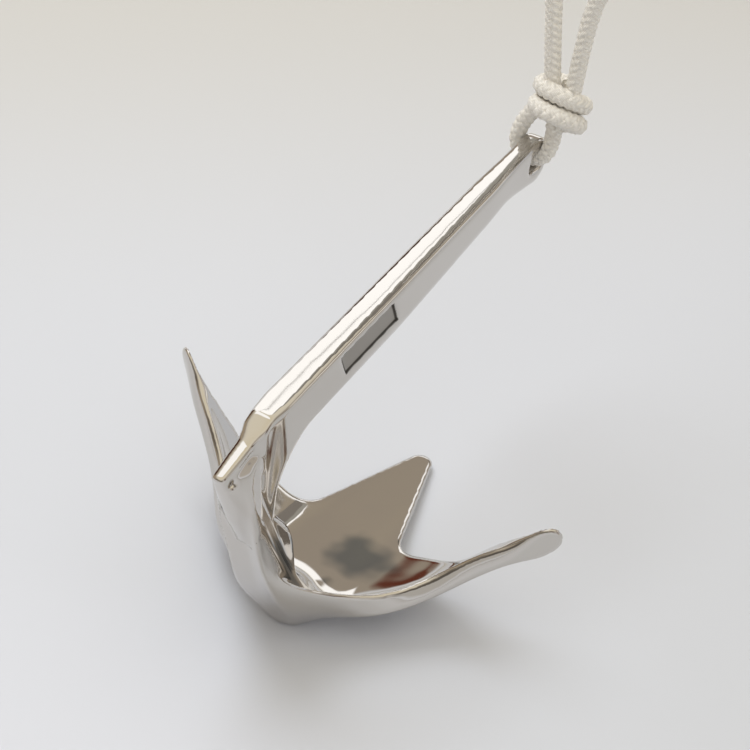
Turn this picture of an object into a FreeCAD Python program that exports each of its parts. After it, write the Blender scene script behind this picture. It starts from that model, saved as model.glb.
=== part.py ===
import FreeCAD, Part
import math
import os
import Sketcher
from FreeCAD import Vector

# A claw anchor cast in one piece, and the doubled rope that is knotted into its eye.
# x runs from the heel towards the eye, y to the anchor's left and z up. The origin is the bottom
# of the crown: the anchor stands on its crown and on the underside of its centre fluke.

SIZES = {
    # Claw: how far each form reaches.
    "fluke_reach": 134.0,
    "half_span": 104.0,
    "ridge_z": 131.0,
    "edge_thick": 2.4,
    "hollow_soft": 11.0,
    # Trident outline, seen from above.
    "fluke_half_angle": 16.6,
    "fluke_tip_rad": 6.0,
    "fluke_root_half": 26.3,
    "notch_rad": 15.0,
    "wing_front": 60.0,
    "wing_flare_y": 80.0,
    # Shank, seen from the side. Each rise is measured from the top of the ridge.
    "heel_x": -54.0,
    "heel_rise": 0.5,
    "rib_x": -34.5,
    "rib_rise": 7.0,
    "kink_x": -22.5,
    "kink_rise": 13.5,
    "shank_slope": 4.75,
    "shank_depth": 23.0,
    "belly_x": 75.0,
    "neck_run": 30.0,
    "neck_depth": 16.8,
    "eye_x": 200.0,
    "head_rad": 12.0,
    "bend_rad": 28.0,
    "neck_rad": 45.0,
    # Shank, seen from above: half widths.
    "half_fin": 2.75,
    "half_kink": 5.6,
    "half_head": 4.6,
    "edge_round": 1.2,
    # Column from the bend down to the floor of the claw.
    "column_front": -17.0,
    "column_knee_z": 88.0,
    "root_half": 10.5,
    "column_bevel": 2.0,
    # Eye, heel hole and the plain sunk plate on the shank's right side.
    "eye_long": 14.5,
    "eye_tall": 11.0,
    "eye_corner_rad": 5.3,
    "eye_round": 1.3,
    "heel_hole_dia": 3.4,
    "heel_hole_x": -47.6,
    "heel_hole_drop": 4.4,
    "plate_x": 48.5,
    "plate_long": 41.5,
    "plate_tall": 13.0,
    "plate_drop": 3.2,
    "plate_lean": 5.5,
    "plate_deep": 0.7,
    "plate_rad": 2.2,
    # Rope.
    "cord_dia": 8.0,
    "strand_x": 202.5,
    "knot_ring_rad": 9.5,
    "knot_core_rad": 10.5,
    "knot_tall": 24.0,
    "knot_y": -9.5,
    "knot_rise": 29.0,
    "knot_lean": 14.0,
}

# The left half of the claw is lofted through stations, like the lines of a hull. Each station
# has its rim, where the back ends, its chine, where the back turns under, and its front edge.
# Shares are of fluke_reach in x, half_span in y and ridge_z in z.
STATIONS = {
    "ridge": {
        "rim": (-0.280, 0.0, 1.015),
        "chine": (0.0, 0.0, -0.005),
        "front": (1.06, 0.0, 0.032),
        "bulge": (-0.060, 0.0, -0.019),
        "hollow": (0.060, 0.0, 0.130),
    },
    "shoulder": {
        "rim": (-0.308, 0.070, 0.916),
        "chine": (0.011, 0.048, -0.005),
        "front": (1.03, 0.058, 0.035),
        "bulge": (-0.052, 0.010, -0.015),
        "hollow": (0.060, 0.067, 0.130),
    },
    "waist": {
        "rim": (-0.250, 0.084, 0.611),
        "chine": (0.022, 0.096, 0.011),
        "front": (0.896, 0.135, 0.047),
        "bulge": (-0.037, 0.005, -0.015),
        "hollow": (0.060, 0.125, 0.130),
    },
    "quarter": {
        "rim": (-0.153, 0.120, 0.389),
        "chine": (0.030, 0.173, 0.069),
        "front": (0.716, 0.216, 0.066),
        "bulge": (-0.026, 0.0, -0.011),
        "hollow": (0.067, 0.192, 0.128),
    },
    "notch": {
        "rim": (-0.007, 0.255, 0.271),
        "chine": (0.049, 0.269, 0.115),
        "front": (0.567, 0.298, 0.095),
        "bulge": (-0.011, 0.0, -0.004),
        "hollow": (0.082, 0.274, 0.145),
    },
    "palm": {
        "rim": (0.116, 0.404, 0.240),
        "chine": (0.097, 0.413, 0.154),
        "front": (0.500, 0.404, 0.138),
        "bulge": (-0.006, -0.001, -0.002),
        "hollow": (0.195, 0.412, 0.172),
    },
    "elbow": {
        "rim": (0.276, 0.572, 0.295),
        "chine": (0.231, 0.582, 0.210),
        "front": (0.468, 0.577, 0.217),
        "bulge": (-0.004, -0.003, 0.0),
        "hollow": (0.330, 0.577, 0.234),
    },
    "blade": {
        "rim": (0.364, 0.740, 0.412),
        "chine": (0.328, 0.740, 0.321),
        "front": (0.434, 0.742, 0.394),
        "bulge": (-0.004, 0.0, 0.0),
        "hollow": (0.398, 0.743, 0.394),
    },
    "spoon": {
        "rim": (0.425, 0.875, 0.485),
        "chine": (0.407, 0.875, 0.387),
        "front": (0.442, 0.875, 0.508),
        "bulge": (-0.004, 0.0, 0.0),
        "hollow": (0.434, 0.875, 0.496),
    },
    "cheek": {
        "rim": (0.450, 0.942, 0.529),
        "chine": (0.457, 0.942, 0.403),
        "front": (0.463, 0.942, 0.550),
        "bulge": (-0.004, 0.0, 0.0),
        "hollow": (0.457, 0.942, 0.538),
    },
    "tip": {
        "rim": (0.469, 0.984, 0.527),
        "chine": (0.480, 0.984, 0.439),
        "front": (0.484, 0.984, 0.536),
        "bulge": (-0.003, 0.0, 0.0),
        "hollow": (0.477, 0.984, 0.531),
    },
    "end": {
        "rim": (0.478, 1.0, 0.508),
        "chine": (0.485, 1.0, 0.467),
        "front": (0.489, 1.0, 0.511),
        "bulge": (-0.002, 0.0, 0.0),
        "hollow": (0.484, 1.0, 0.509),
    },
}
# How far the cutting outline stands clear of the claw, and how far it slants out past the wings.
MARGIN = 12.0
FLARE = 14.0
# How near a line an edge lies to be found, and how nearly it runs along a direction.
NEAR = 0.5
ALONG = 0.999
# The share of the head's half width that only the shank's two side faces lie beyond.
OUTER_SHARE = 0.9
# The most of a station's width that its lip takes, and the rows of poles that run level across
# the middle plane, so that the two halves meet there without a crease.
LIP_SHARE = 0.4
LEVEL_ROWS = {"under": (1,), "front": (0, 1), "inner": (0, 1, 2, 3, 4)}
# The share of the shorter run that each arc of the rope's path takes, and the share of the
# rope's thickness that is bevelled off each turn of the knot.
RUN_SHARE = 0.45
BEVEL_SHARE = 0.29

# The heel's edge below the kink, inside the claw's ridge: shares of heel_x and of ridge_z.
HEEL_BACK = [(0.6, 0.6), (0.77, 0.75), (0.88, 0.885), (0.94, 0.962)]

# The column's sections from the floor up to the knee. Height, back and front are shares of the
# knee's height, and flare is the share of the root's extra width that the section keeps.
COLUMN_SECTIONS = [
    {"height": 0.09, "back": -0.02, "front": 0.16, "flare": 1.0},
    {"height": 0.20, "back": -0.07, "front": 0.105, "flare": 0.72},
    {"height": 0.34, "back": -0.11, "front": 0.045, "flare": 0.50},
    {"height": 0.59, "back": -0.22, "front": 0.0, "flare": 0.26},
    {"height": 0.82, "back": -0.31, "front": -0.074, "flare": 0.07},
    {"height": 0.97, "back": -0.36, "front": -0.178, "flare": 0.0},
    {"height": 1.10, "back": -0.37, "front": -0.193, "flare": 0.0},
]

# The rope's routes, chosen by hand. Each point is its y and its height above the eye's centre.
STRAND_ROUTE = [
    (-9.3, 17.4),
    (-8.9, 0.0),
    (8.9, 0.0),
    (9.1, 16.6),
    (0.8, 28.4),
]
LOOP_ROUTE = [
    (-4.6, 41.0),
    (-0.6, 65.0),
    (2.9, 92.0),
    (12.5, 110.0),
    (19.5, 130.0),
    (19.5, 153.0),
    (3.1, 169.4),
    (-20.1, 169.4),
    (-36.5, 153.0),
    (-36.5, 130.0),
    (-28.0, 110.0),
    (-18.0, 92.0),
    (-15.8, 65.0),
    (-15.2, 41.0),
]

doc = FreeCAD.newDocument("claw_anchor")
sheet = doc.addObject("Spreadsheet::Sheet", "sizes")


def fill_sheet():
    """Put each driving dimension in a cell of its own, named by its alias."""
    for row, (name, value) in enumerate(SIZES.items(), start=1):
        sheet.set(f"A{row}", name)
        sheet.set(f"B{row}", str(value))
        sheet.setAlias(f"B{row}", name)
    doc.recompute()


def size(expression):
    """What an expression on the sheet's cells comes to, in millimetres or degrees."""
    value = sheet.evalExpression(expression)
    return float(getattr(value, "Value", value))


def outline(body, name, plane, corners, height=None):
    """A closed sketch of straight sides, each corner tied to its two expressions."""
    sketch = body.newObject("Sketcher::SketchObject", name)
    planes = [feature for feature in body.Origin.OriginFeatures if feature.Role == plane]
    sketch.AttachmentSupport = [(planes[0], "")]
    sketch.MapMode = "FlatFace"
    if height:
        sketch.setExpression(".AttachmentOffset.Base.z", height)
    places = [Vector(size(across), size(up), 0) for across, up in corners]
    count = len(places)
    for index, place in enumerate(places):
        sketch.addGeometry(Part.LineSegment(place, places[(index + 1) % count]), False)
    for index in range(count):
        sketch.addConstraint(Sketcher.Constraint("Coincident", index, 2, (index + 1) % count, 1))
    for index, (place, corner) in enumerate(zip(places, corners)):
        for kind, value, expression in zip(("DistanceX", "DistanceY"), place, corner):
            number = sketch.addConstraint(Sketcher.Constraint(kind, -1, 1, index, 1, value))
            sketch.setExpression(f"Constraints[{number}]", expression)
    return sketch


def padded(name, plane, corners, length):
    """A body that is one outline pushed out to both sides of its plane."""
    body = doc.addObject("PartDesign::Body", name)
    pad = body.newObject("PartDesign::Pad", f"{name}_pad")
    pad.Profile = outline(body, f"{name}_outline", plane, corners)
    pad.SideType = "Symmetric"
    pad.setExpression("Length", length)
    doc.recompute()
    return body


def edges_through(shape, direction, places):
    """Names of the straight edges that run along a direction through the given places."""
    names = []
    for number, edge in enumerate(shape.Edges, start=1):
        start = edge.Vertexes[0].Point
        run = edge.Vertexes[-1].Point - start
        if run.Length < NEAR or abs(run.dot(direction)) < ALONG * run.Length:
            continue
        for place in places:
            gap = place - start
            if (gap - direction * gap.dot(direction)).Length < NEAR:
                names.append(f"Edge{number}")
    return names


def rounded(body, direction, places, radius):
    """Round the edges of a body that run along a direction through the given places."""
    base = body.Tip
    fillet = body.newObject("PartDesign::Fillet", f"{body.Name}_{radius.split('.')[-1]}")
    fillet.Base = (base, edges_through(base.Shape, direction, places))
    fillet.setExpression("Radius", radius)
    doc.recompute()


def joined(kind, name, *pieces):
    """A boolean of the document: Part::Common and Part::Cut of two pieces, or a fuse of many."""
    result = doc.addObject(kind, name)
    if kind == "Part::MultiFuse":
        result.Shapes = list(pieces)
        result.Refine = True
    else:
        result.Base, result.Tool = pieces
    doc.recompute()
    return result


def mirrored_corners(corners):
    """The corners of one half, followed by the same ones mirrored, back to the start."""
    other = [(across, f"-({up})") for across, up in reversed(corners) if up != "0"]
    return corners + other


def claw_corners(station):
    """The corners of one station: rim, chine, front edge and hollow, and how the back bulges."""
    scale = Vector(size("sizes.fluke_reach"), size("sizes.half_span"), size("sizes.ridge_z"))
    names = ("rim", "chine", "front", "hollow", "bulge")
    return [Vector(*(share * unit for share, unit in zip(station[name], scale))) for name in names]


def square_to(start, end, side):
    """The unit step from a corner square to the line to another, on a third corner's side."""
    way = (end - start).normalize()
    step = side - start
    return (step - way * step.dot(way)).normalize()


def claw_rows(station):
    """Poles of one station's six strips: back, chine, underside, front edge, inner face and lip."""
    rim, chine, front, hollow, bulge = claw_corners(station)
    thick = size("sizes.edge_thick")
    lip = rim + square_to(rim, chine, front) * thick
    if (front - rim).Length * LIP_SHARE < thick:
        thick = (front - rim).Length * LIP_SHARE
        lip = rim + (front - rim) * LIP_SHARE
        hollow = (front + lip) * 0.5
    keel = chine + square_to(chine, rim, front) * thick
    under = front - Vector(0, 0, thick)
    floor, wall = front - hollow, lip - hollow
    soft = min(size("sizes.hollow_soft"), floor.Length / 3, wall.Length / 3)
    near, far = hollow + floor / floor.Length * soft, hollow + wall / wall.Length * soft
    return {
        "back": [rim, (rim + chine) * 0.5 + bulge * 2, chine],
        "chine": [chine, keel],
        "under": [keel, under],
        "front": [under, front],
        "inner": [front, (front + near) * 0.5, near, far, (far + lip) * 0.5, lip],
        "lip": [lip, rim],
    }


def even_knots(count, degree):
    """Knots and their multiplicities for a clamped spline of so many poles."""
    spans = count - degree
    return [float(knot) for knot in range(spans + 1)], [degree + 1] + [1] * (spans - 1) + [degree + 1]


def spline_along(points, steps, level):
    """A cubic through one pole of each station, which may run level across the middle plane."""
    curve = Part.BSplineCurve()
    if not level:
        curve.interpolate(Points=points, Parameters=steps)
        return curve
    rise = (points[1] - points[0]).y / (steps[1] - steps[0])
    tangents = [Vector(0, rise, 0)] + [Vector(1, 0, 0)] * (len(points) - 1)
    flags = [True] + [False] * (len(points) - 1)
    curve.interpolate(Points=points, Parameters=steps, Tangents=tangents, TangentFlags=flags)
    return curve


def strip(rows, steps, level):
    """One strip of the claw's skin, from the same row of poles at each station."""
    curves = [spline_along(list(row), steps, k in level) for k, row in enumerate(zip(*rows))]
    degree = min(3, len(curves) - 1)
    knots, mults = even_knots(len(curves), degree)
    surface = Part.BSplineSurface()
    surface.buildFromPolesMultsKnots(
        [curve.getPoles() for curve in curves],
        mults,
        curves[0].getMultiplicities(),
        knots,
        curves[0].getKnots(),
        False,
        False,
        degree,
        curves[0].Degree,
    )
    return surface.toShape()


def end_face(station):
    """The flat face that closes the claw's skin at its first or last station."""
    edges = []
    for row in station.values():
        degree = min(3, len(row) - 1)
        knots, mults = even_knots(len(row), degree)
        curve = Part.BSplineCurve()
        curve.buildFromPolesMultsKnots(row, mults, knots, False, degree)
        edges.append(curve.toShape())
    return Part.Face(Part.Wire(edges))


def claw_skin():
    """The left half of the claw as one solid within its six strips and two end faces."""
    corners = [claw_corners(station) for station in STATIONS.values()]
    stations = [claw_rows(station) for station in STATIONS.values()]
    steps = [0.0]
    for before, after in zip(corners, corners[1:]):
        steps.append(steps[-1] + sum((new - old).Length for new, old in zip(after[:3], before[:3])))
    faces = [end_face(stations[0]), end_face(stations[-1])]
    for name in stations[0]:
        faces.append(strip([rows[name] for rows in stations], steps, LEVEL_ROWS.get(name, ())))
    skin = Part.makeShell(faces)
    skin.sewShape()
    return Part.makeSolid(skin)


def make_claw():
    """One half, cut to the trident's outline from above, and its mirror."""
    half = doc.addObject("Part::Feature", "claw_lines")
    half.Shape = claw_skin()
    left = joined("Part::Common", "claw_left", half, make_trident())
    right = doc.addObject("Part::Mirroring", "claw_right")
    right.Source = left
    right.Normal = Vector(0, 1, 0)
    return joined("Part::MultiFuse", "claw", left, right)


def make_trident():
    """The outline from above: a pointed centre fluke between two wings with straight fronts."""
    slope = "tan(sizes.fluke_half_angle * 1 deg)"
    apex = f"sizes.wing_front + sizes.fluke_root_half / {slope}"
    reach, span = "sizes.fluke_reach", "sizes.half_span"
    half = [
        (apex, "0"),
        ("sizes.wing_front", "sizes.fluke_root_half"),
        ("sizes.wing_front", "sizes.wing_flare_y"),
        (f"sizes.wing_front + {FLARE}", f"sizes.wing_flare_y + 2 * {FLARE}"),
        (f"sizes.wing_front + {FLARE}", f"{span} + {MARGIN}"),
        (f"-{reach} / 2", f"{span} + {MARGIN}"),
    ]
    corners = mirrored_corners(half)
    body = doc.addObject("PartDesign::Body", "trident")
    pad = body.newObject("PartDesign::Pad", "trident_pad")
    pad.Profile = outline(body, "trident_outline", "XY_Plane", corners)
    pad.setExpression("Length", f"sizes.ridge_z + {MARGIN}")
    doc.recompute()
    up = Vector(0, 0, 1)
    front, root = size("sizes.wing_front"), size("sizes.fluke_root_half")
    rounded(body, up, [Vector(size(apex), 0, 0)], "sizes.fluke_tip_rad")
    rounded(body, up, [Vector(front, root, 0), Vector(front, -root, 0)], "sizes.notch_rad")
    return body


def top_at(across):
    """Height of the shank's straight top edge above a place along it."""
    rise = f"(({across}) - sizes.kink_x) * tan(sizes.shank_slope * 1 deg)"
    return f"sizes.ridge_z + sizes.kink_rise + {rise}"


def make_shank():
    """Heel, shank and head: their outline from the side, kept to their outline from above."""
    ridge = "sizes.ridge_z"
    head_z = f"{top_at('sizes.eye_x')} - sizes.head_rad"
    heel_z = f"{ridge} + sizes.heel_rise"
    neck = "sizes.eye_x - sizes.neck_run"
    side = [
        ("sizes.heel_x", heel_z),
        ("sizes.rib_x", f"{ridge} + sizes.rib_rise"),
        ("sizes.kink_x", f"{ridge} + sizes.kink_rise"),
        ("sizes.eye_x", top_at("sizes.eye_x")),
        ("sizes.eye_x", f"{head_z} - sizes.head_rad"),
        (neck, f"{top_at(neck)} - sizes.neck_depth"),
        ("sizes.belly_x", f"{top_at('sizes.belly_x')} - sizes.shank_depth"),
        ("sizes.column_front", f"{top_at('sizes.column_front')} - sizes.shank_depth"),
        ("sizes.column_front", "sizes.column_knee_z"),
        ("sizes.column_front - sizes.half_kink * 2", "sizes.column_knee_z"),
    ]
    side += [(f"sizes.heel_x * {across}", f"{ridge} * {up}") for across, up in HEEL_BACK]
    profile = padded("shank_side", "XZ_Plane", side, "4 * sizes.half_kink")
    along = Vector(0, 1, 0)
    bend = Vector(size(side[7][0]), 0, size(side[7][1]))
    dip = Vector(size(side[5][0]), 0, size(side[5][1]))
    rounded(profile, along, [bend], "sizes.bend_rad")
    rounded(profile, along, [dip], "sizes.neck_rad")
    above = mirrored_corners([
        (f"sizes.heel_x - {MARGIN}", "sizes.half_fin"),
        ("sizes.rib_x", "sizes.half_fin"),
        ("sizes.kink_x - sizes.half_kink", "sizes.half_kink"),
        ("sizes.eye_x + sizes.head_rad * 2", "sizes.half_head"),
    ])
    plan = padded("shank_plan", "XY_Plane", above, f"4 * {ridge}")
    head = doc.addObject("Part::Cylinder", "head")
    head.setExpression("Radius", "sizes.head_rad")
    head.setExpression("Height", "4 * sizes.half_kink")
    head.Placement.Rotation = FreeCAD.Rotation(Vector(1, 0, 0), 90)
    head.setExpression(".Placement.Base.x", "sizes.eye_x")
    head.setExpression(".Placement.Base.y", "2 * sizes.half_kink")
    head.setExpression(".Placement.Base.z", head_z)
    blank = joined("Part::MultiFuse", "shank_blank", profile, head)
    bar = joined("Part::Common", "shank_bar", blank, plan)
    eyed = joined("Part::Cut", "shank_eyed", bar, make_eye(head_z))
    soft = doc.addObject("Part::Fillet", "shank_soft")
    soft.Base = eyed
    soft.Edges = side_edges(eyed.Shape, size(head_z))
    doc.recompute()
    return joined("Part::Cut", "shank", soft, make_plate())


def make_eye(head_z):
    """The oblong hole through the head, as the solid that is cut away."""
    ends = ("sizes.eye_x - sizes.eye_long / 2", "sizes.eye_x + sizes.eye_long / 2")
    low, high = f"{head_z} - sizes.eye_tall / 2", f"{head_z} + sizes.eye_tall / 2"
    corners = [(ends[0], low), (ends[1], low), (ends[1], high), (ends[0], high)]
    body = padded("eye", "XZ_Plane", corners, "4 * sizes.half_kink")
    places = [Vector(size(across), 0, size(up)) for across, up in corners]
    rounded(body, Vector(0, 1, 0), places, "sizes.eye_corner_rad")
    return body


def side_edges(shape, head_z):
    """The long edges of the shank's two sides, and the rims of its eye, with their radii."""
    edge_round, eye_round = size("sizes.edge_round"), size("sizes.eye_round")
    reach = size("sizes.eye_long") / 2 + NEAR
    eye = Vector(size("sizes.eye_x"), 0, head_z)
    chosen = []
    for number, edge in enumerate(shape.Edges, start=1):
        points = edge.discretize(5)
        on_side = min(abs(point.y) for point in points) > size("sizes.half_head") * OUTER_SHARE
        if not on_side or min(point.x for point in points) < size("sizes.kink_x") - NEAR:
            continue
        rim = all((Vector(point.x, 0, point.z) - eye).Length < reach for point in points)
        radius = eye_round if rim else edge_round
        chosen.append((number, radius, radius))
    return chosen


def make_plate():
    """The plain sunk plate on the shank's right side, as the solid that is cut away."""
    lean, half = "sizes.plate_lean / 2", "sizes.plate_long / 2"
    corners = []
    for end, up, side in ((-1, 0, -1), (-1, 1, 1), (1, 1, 1), (1, 0, -1)):
        across = f"sizes.plate_x + {end} * {half} + {-side} * {lean}"
        drop = f"sizes.plate_drop + {1 - up} * sizes.plate_tall"
        corners.append((across, f"{top_at(across)} - ({drop})"))
    body = padded("plate", "XZ_Plane", corners, "2 * sizes.plate_deep")
    places = [Vector(size(across), 0, size(up)) for across, up in corners]
    rounded(body, Vector(0, 1, 0), places, "sizes.plate_rad")
    start, end = "(sizes.kink_x - sizes.half_kink)", "(sizes.eye_x + sizes.head_rad * 2)"
    share = f"(sizes.plate_x - {start}) / ({end} - {start})"
    half_there = f"sizes.half_kink + (sizes.half_head - sizes.half_kink) * {share}"
    body.setExpression(".Placement.Base.y", f"-({half_there})")
    doc.recompute()
    return body


def make_column():
    """The column that carries the shank: a loft that widens down into the floor of the claw."""
    body = doc.addObject("PartDesign::Body", "column")
    sketches = []
    for number, section in enumerate(COLUMN_SECTIONS):
        back = f"{section['back']} * sizes.column_knee_z"
        front = f"{section['front']} * sizes.column_knee_z"
        half = f"(sizes.half_kink + {section['flare']} * (sizes.root_half - sizes.half_kink))"
        bevel = f"(sizes.edge_round + {section['flare']} * (sizes.column_bevel - sizes.edge_round))"
        corners = mirrored_corners([(back, half), (f"{front} - {bevel}", half), (front, f"{half} - {bevel}")])
        height = f"{section['height']} * sizes.column_knee_z"
        sketches.append(outline(body, f"column_section_{number}", "XY_Plane", corners, height))
    doc.recompute()
    loft = body.newObject("PartDesign::AdditiveLoft", "column_loft")
    loft.Profile = sketches[0]
    loft.Sections = sketches[1:]
    doc.recompute()
    return body


def make_anchor():
    """The whole casting, with the small hole in its heel."""
    whole = joined("Part::MultiFuse", "casting", make_claw(), make_shank(), make_column())
    hole = doc.addObject("Part::Cylinder", "heel_hole")
    hole.Placement.Rotation = FreeCAD.Rotation(Vector(1, 0, 0), 90)
    hole.setExpression("Radius", "sizes.heel_hole_dia / 2")
    hole.setExpression("Height", "4 * sizes.half_fin")
    hole.setExpression(".Placement.Base.x", "sizes.heel_hole_x")
    hole.setExpression(".Placement.Base.y", "2 * sizes.half_fin")
    hole.setExpression(".Placement.Base.z", "sizes.ridge_z - sizes.heel_hole_drop")
    return joined("Part::Cut", "anchor", whole, hole)


def eye_point(across, rise):
    """A point of the rope's plane, from its y and its height above the eye's centre."""
    return Vector(size("sizes.strand_x"), across, size(f"{top_at('sizes.eye_x')} - sizes.head_rad") + rise)


def make_tube(name, route):
    """A length of rope along straight runs joined by tangent arcs as large as the runs allow."""
    points = [eye_point(*place) for place in route]
    edges, at, radii = [], points[0], []
    for before, corner, after in zip(points, points[1:], points[2:]):
        into, out = corner - before, after - corner
        turn = into.getAngle(out)
        setback = RUN_SHARE * min(into.Length, out.Length)
        radii.append(setback / math.tan(turn / 2))
        into.normalize()
        out.normalize()
        start, end = corner - into * setback, corner + out * setback
        inward = (out - into).normalize()
        middle = corner + inward * (radii[-1] / math.cos(turn / 2) - radii[-1])
        edges.append(Part.LineSegment(at, start).toShape())
        edges.append(Part.Arc(start, middle, end).toShape())
        at = end
    edges.append(Part.LineSegment(at, points[-1]).toShape())
    path = Part.Wire(edges)
    ring = Part.Circle(points[0], points[1] - points[0], size("sizes.cord_dia") / 2)
    tube = doc.addObject("Part::Feature", name)
    tube.Shape = path.makePipeShell([Part.Wire(ring.toShape())], True, False)
    expected = math.pi * (size("sizes.cord_dia") / 2) ** 2 * path.Length
    print(name, "length", round(path.Length, 1), "radii", [round(radius, 1) for radius in radii])
    print(name, "volume over section times length", round(tube.Shape.Volume / expected, 4))
    return tube


def make_knot(*strands):
    """The knot as two leaning turns about a round core, hollowed where the rope enters it."""
    centre = eye_point(size("sizes.knot_y"), size("sizes.knot_rise"))
    core = doc.addObject("Part::Cylinder", "knot_core")
    core.setExpression("Radius", "sizes.knot_core_rad")
    core.setExpression("Height", "sizes.knot_tall")
    core.Placement.Base = centre - Vector(0, 0, size("sizes.knot_tall") / 2)
    pieces = [core]
    for number, side in enumerate((-1, 1), start=1):
        disc = doc.addObject("Part::Cylinder", f"knot_disc_{number}")
        disc.setExpression("Radius", "sizes.knot_ring_rad + sizes.cord_dia / 2")
        disc.setExpression("Height", "sizes.cord_dia")
        lean = FreeCAD.Rotation(Vector(1, 0, 0), size("sizes.knot_lean"))
        up = lean.multVec(Vector(0, 0, size("sizes.cord_dia")))
        disc.Placement = FreeCAD.Placement(centre + up * (side / 2 - 0.5), lean)
        doc.recompute()
        turn = doc.addObject("Part::Chamfer", f"knot_turn_{number}")
        turn.Base = disc
        bevel = size("sizes.cord_dia") * BEVEL_SHARE
        rims = [n for n, edge in enumerate(disc.Shape.Edges, start=1) if edge.isClosed()]
        turn.Edges = [(n, bevel, bevel) for n in rims]
        pieces.append(turn)
    lump = joined("Part::MultiFuse", "knot_lump", *pieces)
    for number, strand in enumerate(strands, start=1):
        lump = joined("Part::Cut", f"knot_hollow_{number}", lump, strand)
    return lump


def main():
    """Build each piece, check the whole document and write the pieces out."""
    fill_sheet()
    strand = make_tube("rope_eye_strand", STRAND_ROUTE)
    loop = make_tube("rope_loop", LOOP_ROUTE)
    pieces = {
        "anchor": make_anchor(),
        "rope_eye_strand": strand,
        "rope_knot": make_knot(strand, loop),
        "rope_loop": loop,
    }
    doc.recompute()
    for item in doc.Objects:
        if "Invalid" in item.State or "Error" in item.State:
            raise RuntimeError(f"{item.Name} failed: {item.State}")
    for name, piece in pieces.items():
        piece.Label = name
        if piece.Shape.isNull() or not piece.Shape.isValid() or len(piece.Shape.Solids) != 1:
            raise RuntimeError(f"{name} is not one valid solid")
    os.makedirs("parts", exist_ok=True)
    for name, piece in pieces.items():
        piece.Shape.exportStep(f"parts/{name}.step")
        print(name, "volume", round(piece.Shape.Volume), "faces", len(piece.Shape.Faces))


main()
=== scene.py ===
import logging
import math
from dataclasses import dataclass
from enum import Enum
from functools import partial
from typing import Any, Dict, List, Optional, Sequence, Tuple

import bmesh
import bpy
import numpy as np
from mathutils import Matrix, Vector


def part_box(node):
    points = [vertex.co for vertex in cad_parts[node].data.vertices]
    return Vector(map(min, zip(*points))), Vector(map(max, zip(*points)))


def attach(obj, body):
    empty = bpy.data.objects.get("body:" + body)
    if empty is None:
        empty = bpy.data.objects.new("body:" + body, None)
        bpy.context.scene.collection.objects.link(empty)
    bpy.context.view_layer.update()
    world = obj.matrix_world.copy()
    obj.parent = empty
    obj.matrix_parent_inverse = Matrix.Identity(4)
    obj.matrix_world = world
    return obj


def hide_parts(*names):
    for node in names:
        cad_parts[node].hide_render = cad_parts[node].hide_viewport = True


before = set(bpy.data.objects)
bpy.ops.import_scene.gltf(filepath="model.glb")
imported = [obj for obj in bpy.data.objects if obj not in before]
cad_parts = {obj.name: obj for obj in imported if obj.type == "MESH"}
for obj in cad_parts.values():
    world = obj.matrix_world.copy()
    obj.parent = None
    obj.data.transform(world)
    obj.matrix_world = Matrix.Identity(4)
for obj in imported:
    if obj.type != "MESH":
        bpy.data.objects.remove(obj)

LOG = logging.getLogger("claw_anchor")
MM = 0.001

# The least length that a vector is divided by.
TINY = 1e-9

# A place or a direction, and two values that belong together, such as a start and an end.
Point = Tuple[float, float, float]
Pair = Tuple[float, float]
Tree = bpy.types.NodeTree
Socket = bpy.types.NodeSocket
Material = bpy.types.Material
Mesh = bpy.types.Mesh
Object = bpy.types.Object


class Body(Enum):
    """The CAD bodies that pieces ride on."""

    ROOT = "root"


class MaterialSlot(Enum):
    """The record's material slots."""

    STEEL = "polished_steel"
    ROPE = "rope"


def linear(colour: str) -> Tuple[float, float, float, float]:
    """Turn an sRGB hex colour into linear values.

    Args:
        colour: Six hex digits after a hash.

    Returns:
        Red, green, blue and an alpha of 1.
    """
    parts = [int(colour[start : start + 2], 16) / 255 for start in (1, 3, 5)]
    # The numbers are those of the sRGB standard's curve.
    values = [part / 12.92 if part <= 0.04045 else ((part + 0.055) / 1.055) ** 2.4 for part in parts]
    return (*values, 1.0)


def add_node(
    tree: Tree, kind: str, inputs: Optional[Dict[Any, Any]] = None, **settings: Any
) -> bpy.types.Node:
    """Add one node with its settings, values and links.

    Args:
        tree: The node tree that gets the node.
        kind: The node's type name.
        inputs: Sockets by name or number, each with a value, with the output that feeds it, or
            with the node whose first output does.
        **settings: Properties of the node itself.

    Returns:
        The new node.
    """
    node = tree.nodes.new(kind)
    for name, value in settings.items():
        setattr(node, name, value)
    for key, value in (inputs or {}).items():
        if isinstance(value, bpy.types.Node):
            value = value.outputs[0]
        if isinstance(value, Socket):
            tree.links.new(value, node.inputs[key])
        else:
            node.inputs[key].default_value = value
    return node


def new_material(name: str) -> Tuple[Material, Tree]:
    """Start a material whose node tree is still empty.

    Args:
        name: The material's name.

    Returns:
        The material and its tree.
    """
    material = bpy.data.materials.new(name)
    material.use_nodes = True
    material.node_tree.nodes.clear()
    return material, material.node_tree


def laid_over(tree: Tree, under: Any, over: Any, value: Any, ends: Pair) -> Socket:
    """Lay one colour over another, with a soft change as a value goes between two ends.

    Args:
        tree: The node tree.
        under: The colour that lies below.
        over: The colour that is laid on it.
        value: The value that is followed.
        ends: The value at which the upper colour starts to show, and the one at which it covers.

    Returns:
        The colour.
    """
    share = add_node(
        tree,
        "ShaderNodeMapRange",
        {"Value": value, "From Min": ends[0], "From Max": ends[1]},
        interpolation_type="SMOOTHSTEP",
    )
    mix = add_node(tree, "ShaderNodeMix", {"Factor": share, 6: under, 7: over}, data_type="RGBA")
    return mix.outputs[2]


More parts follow.
